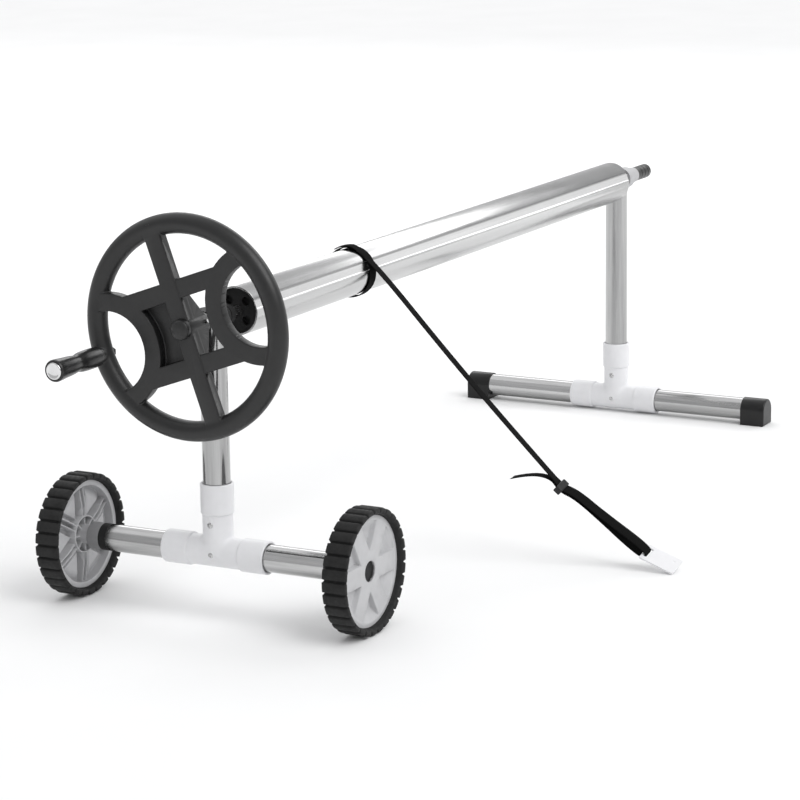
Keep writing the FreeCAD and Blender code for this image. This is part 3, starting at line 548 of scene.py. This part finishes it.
# Along the grip, from the rim to its free end: collar, shoulder, waist, swell and lip.
GRIP_COLLAR = [(0.2, 12), (0.2, 13.6), (0.8, 14.4), (3.2, 14.6), (3.6, 13.9), (4, 13.9)]
GRIP_CURVE = [(4, 14.6), (6, 15.0), (22, 15.5), (38, 15.3), (48, 14.5), (55, 12.9), (60, 12.6), (72, 14.4),
              (92, 15.4), (106, 16.5), (112, 16.6)]
GRIP_RIM = [(113.6, 16.2), (114.8, 15.2), (115, 14.2), (114.6, 13.6), (112.4, 13.5), (112.2, 6)]
grip_root = Vector((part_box("handle_grip")[1].x, middle("handle_grip").y, middle("handle_grip").z))
GRIP_PLACE = Matrix.Translation(grip_root) @ Matrix.Rotation(math.pi, 4, "Z")
grip = turned("handle_grip_moulding", GRIP_COLLAR + eased(GRIP_CURVE) + GRIP_RIM)
finish_piece(grip, "grip_black", "grip", "black_moulding", "handle_grip", place=GRIP_PLACE)
DISH = [(112.3, 13.2), (114.0, 13.2), (115.6, 12.7), (116.2, 11.6), (116.1, 10.4), (115.3, 8.0),
        (114.9, 4.0), (114.8, 0.5)]
bolt = turned("handle_bolt_domed", [(-38, 3.4), (-37.4, 4), (111, 4), (112.3, 4)] + eased(DISH, 2))
finish_piece(bolt, "dished_chrome", "roller", "bright_fastener", "handle_bolt", place=GRIP_PLACE)

stub_low, stub_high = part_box("shaft_end_cap")
stub_length, stub_r = (stub_high.x - stub_low.x) / MM, (stub_high.z - stub_low.z) / 2 / MM
GROOVE_WIDTH, GROOVE_DEPTH = 1.8, 1.0
GROOVE_STARTS = (0.28, 0.52, 0.76)    # as shares of the cap's length
stub_profile = [(0, 0.4), (0, stub_r - 0.6), (0.6, stub_r)]
for share in GROOVE_STARTS:
    start = share * stub_length
    stub_profile += [(start, stub_r), (start + 0.3, stub_r - GROOVE_DEPTH),
                     (start + GROOVE_WIDTH - 0.3, stub_r - GROOVE_DEPTH), (start + GROOVE_WIDTH, stub_r)]
stub_profile += [(stub_length - 1.6, stub_r), (stub_length - 0.5, stub_r - 0.7), (stub_length, stub_r - 2),
                 (stub_length, 0.4)]
stub_place = Matrix.Translation((stub_low.x, middle("shaft_end_cap").y, middle("shaft_end_cap").z))
finish_piece(turned("shaft_end_grooved", stub_profile), "gloss_black", "roller", "black_moulding",
             "shaft_end_cap", place=stub_place)

DOME_RISE = 3.5
cap_low, cap_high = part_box("hub_cap")
cap_r = HUB_R - 0.4
cap_depth = (cap_high.x - cap_low.x) / MM
dome = turned("hub_cap_dome", eased([(0, 0.4), (0, 5), (1.6, cap_r * 0.7), (4.2, cap_r * 0.94), (7, cap_r)])
              + [(cap_depth + DOME_RISE, cap_r)])
dome_place = Matrix.Translation((cap_low.x - DOME_RISE * MM, middle("hub_cap").y, middle("hub_cap").z))
finish_piece(dome, "satin_black", "roller", "black_moulding", "hub_cap", place=dome_place)

# ---------------------------------------------------------------- tee fittings

TEE_R, SOCKET_R = 23.4, 25.6
PIPE_BORE = 21.3


def tee_field(x, y, z):
    """Own frame: y along the cross tube, z up the post, from the cross tube's axis."""
    across, upright = np.hypot(x, z), np.hypot(x, y)
    body = joined(rounded(across - TEE_R, np.abs(y) - 60, 1), rounded(upright - TEE_R, slab(z, 0, 70), 1), 6)
    sides = rounded(across - SOCKET_R, slab(np.abs(y), 45, 89), 1.8)
    top = rounded(upright - SOCKET_R, slab(z, 61, 108), 1.8)
    whole = joined(joined(body, sides, 0.8), top, 0.8)
    side_bore = across - PIPE_BORE - np.maximum(0, np.abs(y) - 87) * 0.6
    top_bore = np.maximum(upright - PIPE_BORE - np.maximum(0, z - 106) * 0.6, 22 - z)
    return np.maximum(whole, -np.minimum(side_bore, top_bore))


def screw_field(x, y, z):
    """Pan head with a cross recess; x runs out of the fitting."""
    dome = np.hypot(np.hypot(y, z), np.maximum(x, 0) * 1.7) - 4.6
    head = np.maximum(dome, -x - 0.6)
    slot = np.minimum(np.maximum(np.abs(y) - 0.6, np.abs(z) - 2.6),
                      np.maximum(np.abs(z) - 0.6, np.abs(y) - 2.6))
    return np.maximum(head, -np.maximum(slot, 1.1 - x))


tee = moulded("near_tee_moulding", tee_field, (-26, -90, -26), (26, 90, 109), 1.3, keep=0.6)
far_tee = bpy.data.objects.new("far_tee_moulding", tee.data.copy())
bpy.context.scene.collection.objects.link(far_tee)
for obj, bar, node in ((tee, NEAR_BAR, "near_tee"), (far_tee, FAR_BAR, "far_tee")):
    finish_piece(obj, "white_plastic", "stand", "white_moulding", node, place=Matrix.Translation(bar))

SCREW_TURN = Matrix.Rotation(math.radians(180), 4, "Z") @ Matrix.Rotation(math.radians(25), 4, "X")
screw_mesh = moulded("screw_shape", screw_field, (-1, -5, -5), (3, 5, 5), 0.3)
for node in ("near_tee_screw_lower", "near_tee_screw_upper", "far_tee_screw_lower", "far_tee_screw_upper"):
    screw = bpy.data.objects.new(f"{node}_head", screw_mesh.data.copy())
    bpy.context.scene.collection.objects.link(screw)
    low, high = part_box(node)
    seat = Matrix.Translation((low.x + 2.6 * MM, 0, middle(node).z)) @ SCREW_TURN
    finish_piece(screw, "bright_fastener", "stand", "bright_fastener", node, place=seat)
bpy.data.objects.remove(screw_mesh)

# ---------------------------------------------------------------- wheels

DISC_R, DISC_HALF, SEAT_R = 84.5, 10.0, 80.0
POCKET_APEX, POCKET_DEPTH, HUB_WALL = 30.0, 8.5, 3.0
RING_R, WHEEL_BOSS_R, BOSS_REACH = 29.3, 15.0, 24.0


def ease(value, low, high):
    part = np.clip((value - low) / (high - low), 0, 1)
    return part * part * (3 - 2 * part)


def hub_field(x, y, z):
    """Own frame: z outwards along the axle. Six flat spokes between pockets that fade to the rim."""
    away = np.hypot(x, y)
    turn = np.arctan2(y, x)
    sector = math.radians(60)
    in_pocket = turn - np.round(turn / sector) * sector
    px, py = away * np.cos(in_pocket), away * np.sin(in_pocket)
    inset = (px - POCKET_APEX) * 0.5 - np.abs(py) * math.cos(math.radians(30))
    fade = 1 - ease(px, 58, 79)
    face = DISC_HALF - POCKET_DEPTH * ease(inset, 0, 3.2) * fade
    back = DISC_HALF - HUB_WALL - POCKET_DEPTH * ease(inset + 2.8, 0, 3.2) * fade
    in_spoke = turn - (np.floor(turn / sector) + 0.5) * sector
    sx, sy = away * np.cos(in_spoke), away * np.sin(in_spoke)
    web = np.maximum(np.maximum(z - face, back - z) * 0.7, away - SEAT_R)
    rib_block = np.maximum(slab(z, -8 + ease(sx, 40, 76) * 4, 8), slab(sx, RING_R - 1, 78))
    rib = rounded(np.abs(np.abs(sy) - 4.5) - 1.1, rib_block, 0.5)
    rim = rounded(slab(away, 76, SEAT_R), np.abs(z) - DISC_HALF, 0.6)
    lips = rounded(slab(away, 76, DISC_R), slab(np.abs(z), DISC_HALF - 2, DISC_HALF), 0.8)
    ring = rounded(slab(away, RING_R - 2.2, RING_R), slab(z, -DISC_HALF, 7), 0.6)
    boss = rounded(away - WHEEL_BOSS_R, slab(z, -BOSS_REACH, 8), 1.0)
    eighth = math.radians(45)
    web_turn = turn - np.round(turn / eighth) * eighth
    spread = rounded(np.abs(away * np.sin(web_turn)) - 1.2,
                     np.maximum(slab(away, 10, RING_R - 1), slab(z, -DISC_HALF + 1, 7)), 0.5)
    whole = joined(joined(web, rim, 1.2), lips, 0.8)
    for part in (rib, ring, boss, spread):
        whole = joined(whole, part, 1.0)
    bore = np.maximum(away - 15.8, 1.7 - z)
    return np.maximum(whole, -np.minimum(bore, away - 12.05))


def tyre_mesh(name):
    """Tyre swept round the axle: each groove sinks the tread and cuts back the shoulders."""
    lugs, steps = 30, 18
    half = [(0.0, 96.0), (6.0, 96.0), (12.0, 96.0), (16.5, 95.9), (18.6, 95.2), (19.8, 93.8), (20.0, 92.0),
            (20.0, 90.0), (19.4, 88.4), (17.4, 86.6), (14.0, 85.6), (10.4, 84.8), (9.2, 83.6), (7.9, 81.5),
            (7.9, 80.1)]
    section = [(-z, r) for z, r in half[:0:-1]] + half
    points, faces = [], []
    for step in range(lugs * steps):
        phase = (step % steps) / steps
        groove = float(ease(phase, 0.0, 0.10) * (1 - ease(phase, 0.16, 0.28)))
        crown = 1 - (2 * max(0.0, (phase - 0.19) / 0.81) - 1) ** 2 if phase > 0.19 else 0.0
        angle = math.tau * step / (lugs * steps)
        for z, r in section:
            tread = float(ease(r, 86.5, 91.0))
            sunk = 4.2 * groove * float(ease(r, 88.0, 95.0)) + 1.1 * (1 - crown) * float(ease(r, 93, 96))
            radius = r - tread * sunk
            side = z - math.copysign(1.8 * groove * tread * float(ease(abs(z), 15, 19)), z)
            points.append((radius * math.cos(angle) * MM, radius * math.sin(angle) * MM, side * MM))
    wide, round_count = len(section), lugs * steps
    for step in range(round_count):
        here, after = step * wide, (step + 1) % round_count * wide
        for place in range(wide):
            along = (place + 1) % wide
            faces.append((here + place, after + place, after + along, here + along))
    mesh = bpy.data.meshes.new(name)
    mesh.from_pydata(points, [], faces)
    mesh.shade_smooth()
    obj = bpy.data.objects.new(name, mesh)
    bpy.context.scene.collection.objects.link(obj)
    bm = bmesh.new()
    bm.from_mesh(mesh)
    bmesh.ops.recalc_face_normals(bm, faces=bm.faces)
    bm.to_mesh(mesh)
    bm.free()
    return obj


hub = moulded("wheel_hub_left_moulding", hub_field, (-86, -86, -25), (86, 86, 11), 1.3, keep=0.5)
hub_right = bpy.data.objects.new("wheel_hub_right_moulding", hub.data.copy())
bpy.context.scene.collection.objects.link(hub_right)
# Outwards is +Y on the left wheel and -Y on the right; the right hub stands half a spoke round.
OUTWARD = {
    "left": Matrix.Rotation(math.radians(-90), 4, "X"),
    "right": Matrix.Rotation(math.radians(90), 4, "X") @ Matrix.Rotation(math.radians(30), 4, "Z"),
}
for side, obj in (("left", hub), ("right", hub_right)):
    place = Matrix.Translation(middle(f"tyre_{side}")) @ OUTWARD[side]
    finish_piece(obj, "grey_plastic", f"{side}_wheel", "grey_moulding", f"wheel_hub_{side}", place=place)
    finish_piece(tyre_mesh(f"tyre_{side}_lugged"), "rubber", f"{side}_wheel", "tyre_rubber",
                 f"tyre_{side}", place=place)

# ---------------------------------------------------------------- strap
# Routes are in the strap's own plane: millimetres out along the ground and up.

STRAP_ALONG, STRAP_SIDE = 0.430, -0.038    # metres from the near cross tube and the tube's axis
STRAP_HEADING = math.radians(-82.35)
STRAP_PLACE = (Matrix.Translation((NEAR_BAR.x + STRAP_ALONG, STRAP_SIDE, 0))
               @ Matrix.Rotation(STRAP_HEADING, 4, "Z"))
STRAP_WIDTH, STRAP_THICKNESS = 22.0, 2.0
BUCKLE_POINT, PLATE_POINT = Vector((317, 0, 123)), Vector((454, 0, 28))
BUCKLE_PITCH, PLATE_PITCH = 43, 20.5    # degrees below level
LOOP_ROLL = math.radians(17)    # the loop and its plate lean about the line between these points
RUN_ROUTE = [(-60, 491.5), (-50, 497.5), (-18.5, 497.5), (150, 303), (314, 128), (321.8, 122.4), (345, 114.5),
             (385, 84), (464, 31.7), (460.9, 25.1)]
RETURN_ROUTE = [(460.9, 25.1), (457.9, 18.5), (430, 36.5), (380, 81), (343, 110.5), (319, 118.6),
                (312.5, 124.5), (299.5, 138.5), (268, 141.5), (238, 133.5)]
ROW_STEP = 0.7 * MM


def rolled(roll):
    """Turn about the line from buckle to plate, in the strap's own plane and millimetres."""
    turn = Matrix.Rotation(roll, 4, PLATE_POINT - BUCKLE_POINT)
    return Matrix.Translation(BUCKLE_POINT) @ turn @ Matrix.Translation(-BUCKLE_POINT)


def leans(route):
    """The roll at each point of a route: all of it beyond the buckle, none before."""
    return [LOOP_ROLL if x > BUCKLE_POINT.x else 0 for x, z in route]


def webbing_sides(path):
    """Direction across the webbing at each point of its path, easing into the lean at the buckle."""
    local = STRAP_PLACE.inverted()
    sides = []
    for point in path:
        beyond = (local @ Vector(point)).x / MM - BUCKLE_POINT.x
        roll = LOOP_ROLL * float(np.clip(beyond / 20 + 0.5, 0, 1))
        sides.append(STRAP_PLACE.to_3x3() @ rolled(roll).to_3x3() @ Vector((0, 1, 0)))
    return np.array(sides)


def centreline(route):
    """Points along the smooth line that the route draws, a row's step apart, and its length."""
    data = bpy.data.curves.new("strap_line", "CURVE")
    data.dimensions = "3D"
    data.resolution_u = 32
    spline = data.splines.new("NURBS")
    spline.points.add(len(route) - 1)
    for point, (x, z), roll in zip(spline.points, route, leans(route)):
        point.co = (*(STRAP_PLACE @ (rolled(roll) @ Vector((x, 0, z)) * MM)), 1)
    spline.order_u = 3
    spline.use_endpoint_u = True
    curve = bpy.data.objects.new("strap_line", data)
    bpy.context.scene.collection.objects.link(curve)
    bpy.context.view_layer.update()
    fine = bpy.data.meshes.new_from_object(curve.evaluated_get(bpy.context.evaluated_depsgraph_get()))
    line = np.array([tuple(vertex.co) for vertex in fine.vertices])
    bpy.data.objects.remove(curve)
    bpy.data.meshes.remove(fine)
    reach = np.concatenate([[0], np.cumsum(np.linalg.norm(np.diff(line, axis=0), axis=1))])
    stations = np.linspace(0, reach[-1], int(reach[-1] / ROW_STEP) + 1)
    return np.stack([np.interp(stations, reach, line[:, k]) for k in range(3)], 1), float(reach[-1])


def woven(name, path, across, closed=False, fray=0.0):
    """Flat webbing along a path, with the direction across it at each point: twill ribs on both
    faces, scalloped edges and, if frayed, a ragged end."""
    columns = 24
    ahead = np.gradient(path, axis=0)
    if closed:
        ahead[0] = ahead[-1] = path[1] - path[-2]
    ahead /= np.linalg.norm(ahead, axis=1)[:, None]
    lift = np.cross(ahead, across)
    across = across[:, None, :]
    lift /= np.linalg.norm(lift, axis=1)[:, None]
    spread = np.linspace(-1, 1, columns + 1)
    place = np.concatenate([np.arange(columns + 1), np.arange(columns - 1, 0, -1)])
    side = np.where(np.arange(2 * columns) <= columns, 1.0, -1.0)
    u = spread[place]
    rise = STRAP_THICKNESS / 2 * np.sqrt(np.clip(1 - np.abs(u) ** 6, 0, 1))
    row = np.arange(len(path))[:, None]
    slant = np.where((place // 4) % 2 == 0, 1, -1) * place * 0.25
    rib = np.sin(math.tau * (row / 3 + slant)) * 0.16 * (1 - np.abs(u) ** 8)
    half = STRAP_WIDTH / 2 - 0.35 * (0.5 + 0.5 * np.cos(math.tau * row / 4))
    points = (path[:, None, :] + across * (u * half * MM)[..., None]
              + lift[:, None, :] * (side * (rise + rib - 0.16) * MM)[..., None])
    if fray:
        torn = np.random.default_rng(7).uniform(0.1, 1.0, columns + 1)
        torn[:2] = 1.8, 1.3
        tail = np.clip((row - len(path) + 9) / 9, 0, 1) ** 2
        points += ahead[:, None, :] * (tail * torn[place] * fray * MM)[..., None]
    wide = 2 * columns
    count = len(path) - 1 if closed else len(path)
    index = np.arange(count * wide).reshape(count, wide)
    here, after = (index, np.roll(index, -1, axis=0)) if closed else (index[:-1], index[1:])
    quads = np.stack([here, after, np.roll(after, -1, axis=1), np.roll(here, -1, axis=1)], -1).reshape(-1, 4)
    faces = quads.tolist()
    if not closed:
        for end in (0, count - 1):
            ring = [end * wide + k for k in range(wide)]
            faces += [(ring[k], ring[k + 1], ring[wide - k - 1], ring[(wide - k) % wide])
                      for k in range(1, columns - 1)]
            faces += [(ring[0], ring[1], ring[wide - 1]),
                      (ring[columns - 1], ring[columns], ring[columns + 1])]
    mesh = bpy.data.meshes.new(name)
    mesh.from_pydata(points[:count].reshape(-1, 3), [], faces)
    bm = bmesh.new()
    bm.from_mesh(mesh)
    bmesh.ops.recalc_face_normals(bm, faces=bm.faces)
    bm.to_mesh(mesh)
    bm.free()
    mesh.shade_smooth()
    obj = bpy.data.objects.new(name, mesh)
    bpy.context.scene.collection.objects.link(obj)
    return obj


def buckle_field(x, y, z):
    """Slide: x along the strap, y across it. Two slots, one above the other, take the webbing."""
    frame_block = rounded(rounded(np.abs(x) - 6, np.abs(y) - 14, 2), np.abs(z) - 6, 1.6)
    slots = np.maximum(np.abs(y) - 11.6, np.abs(np.abs(z) - 2.6) - 1.5)
    return np.maximum(frame_block, -slots)


def plate_field(x, y, z):
    """End plate: x from the strap's slot to the far edge, with a small round dimple there."""
    body = rounded(rounded(slab(x, 0, 60), np.abs(y) - 21, 2), np.abs(z) - 1.5, 0.6)
    slot = rounded(slab(x, 4, 11), np.abs(y) - 12.6, 1.5)
    dimple = np.hypot(np.hypot(x - 49, y - 8), z - 8) - 7.4
    return np.maximum(body, -np.minimum(slot, dimple))


def on_loop(point, pitch):
    """Place of a piece on the loop, tipped along the strap."""
    here = rolled(LOOP_ROLL) @ Matrix.Translation(point) @ Matrix.Rotation(math.radians(pitch), 4, "Y")
    here.translation *= MM
    return STRAP_PLACE @ here


run_path, run_length = centreline(RUN_ROUTE)
return_path, return_length = centreline(RETURN_ROUTE)
run = finish_piece(woven("strap_run_webbing", run_path, webbing_sides(run_path)),
                   "webbing", "stand", "black_webbing", "strap_run")
back_leg = finish_piece(woven("strap_return_webbing", return_path, webbing_sides(return_path), fray=3.0),
                        "webbing", "stand", "black_webbing", "strap_loop", "strap_tail")
wrap_low, wrap_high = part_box("strap_wrap")
wrap_r = (wrap_high.z - wrap_low.z) / 2 - STRAP_THICKNESS / 2 * MM
turns = np.linspace(0, math.tau, int(math.tau * wrap_r / ROW_STEP / 12) * 12 + 1)
wrap_path = np.stack([np.full_like(turns, middle("strap_wrap").x), wrap_r * np.sin(turns),
                      AXIS.z + wrap_r * np.cos(turns)], 1)
wrap_sides = np.tile([1.0, 0, 0], (len(wrap_path), 1))
finish_piece(woven("strap_wrap_webbing", wrap_path, wrap_sides, closed=True),
             "webbing", "stand", "black_webbing", "strap_wrap")
buckle = finish_piece(moulded("strap_buckle_moulding", buckle_field, (-7, -15, -7), (7, 15, 7), 0.6),
                      "gloss_black", "stand", "black_moulding", "strap_buckle",
                      place=on_loop(BUCKLE_POINT, BUCKLE_PITCH))
plate = finish_piece(moulded("strap_plate_moulding", plate_field, (-1, -22, -2), (61, 22, 2), 0.7, keep=0.5),
                     "white_plastic", "stand", "white_moulding", "strap_plate",
                     place=on_loop(PLATE_POINT, PLATE_PITCH))

# ---------------------------------------------------------------- carried-over metal and fittings

CARRIED = {
    "bright_tube": ("roller_tube",),
    "steel_along_y": ("near_cross_tube", "far_cross_tube"),
    "steel_upright": ("near_post", "far_post"),
    "bright_fastener": ("near_shaft", "far_shaft", "drive_pin"),
    "pale_plastic": ("far_lock_ring", "far_bearing_bush"),
    "spacer_grey": ("wheel_spacer_left", "wheel_spacer_right"),
    "dull_black": ("near_lock_ring", "near_end_plug", "far_end_plug", "near_bearing_bush",
                   "near_post_cap", "far_post_cap", "axle_plug_left", "axle_plug_right",
                   "axle_cap_left", "axle_cap_right", "handle_nut"),
    "gloss_black": ("far_foot_left", "far_foot_right"),
}
for material, nodes in CARRIED.items():
    for node in nodes:
        for slot in NODES[node].material_slots:
            slot.material = MATERIALS[material]

SOFT_EDGE = 0.6 * MM
SOFTENED = ("roller_tube", "far_foot_left", "far_foot_right", "far_lock_ring", "near_post_cap",
            "far_post_cap")
for node in SOFTENED:
    soften(NODES[node], SOFT_EDGE)

add_camera()
add_studio()
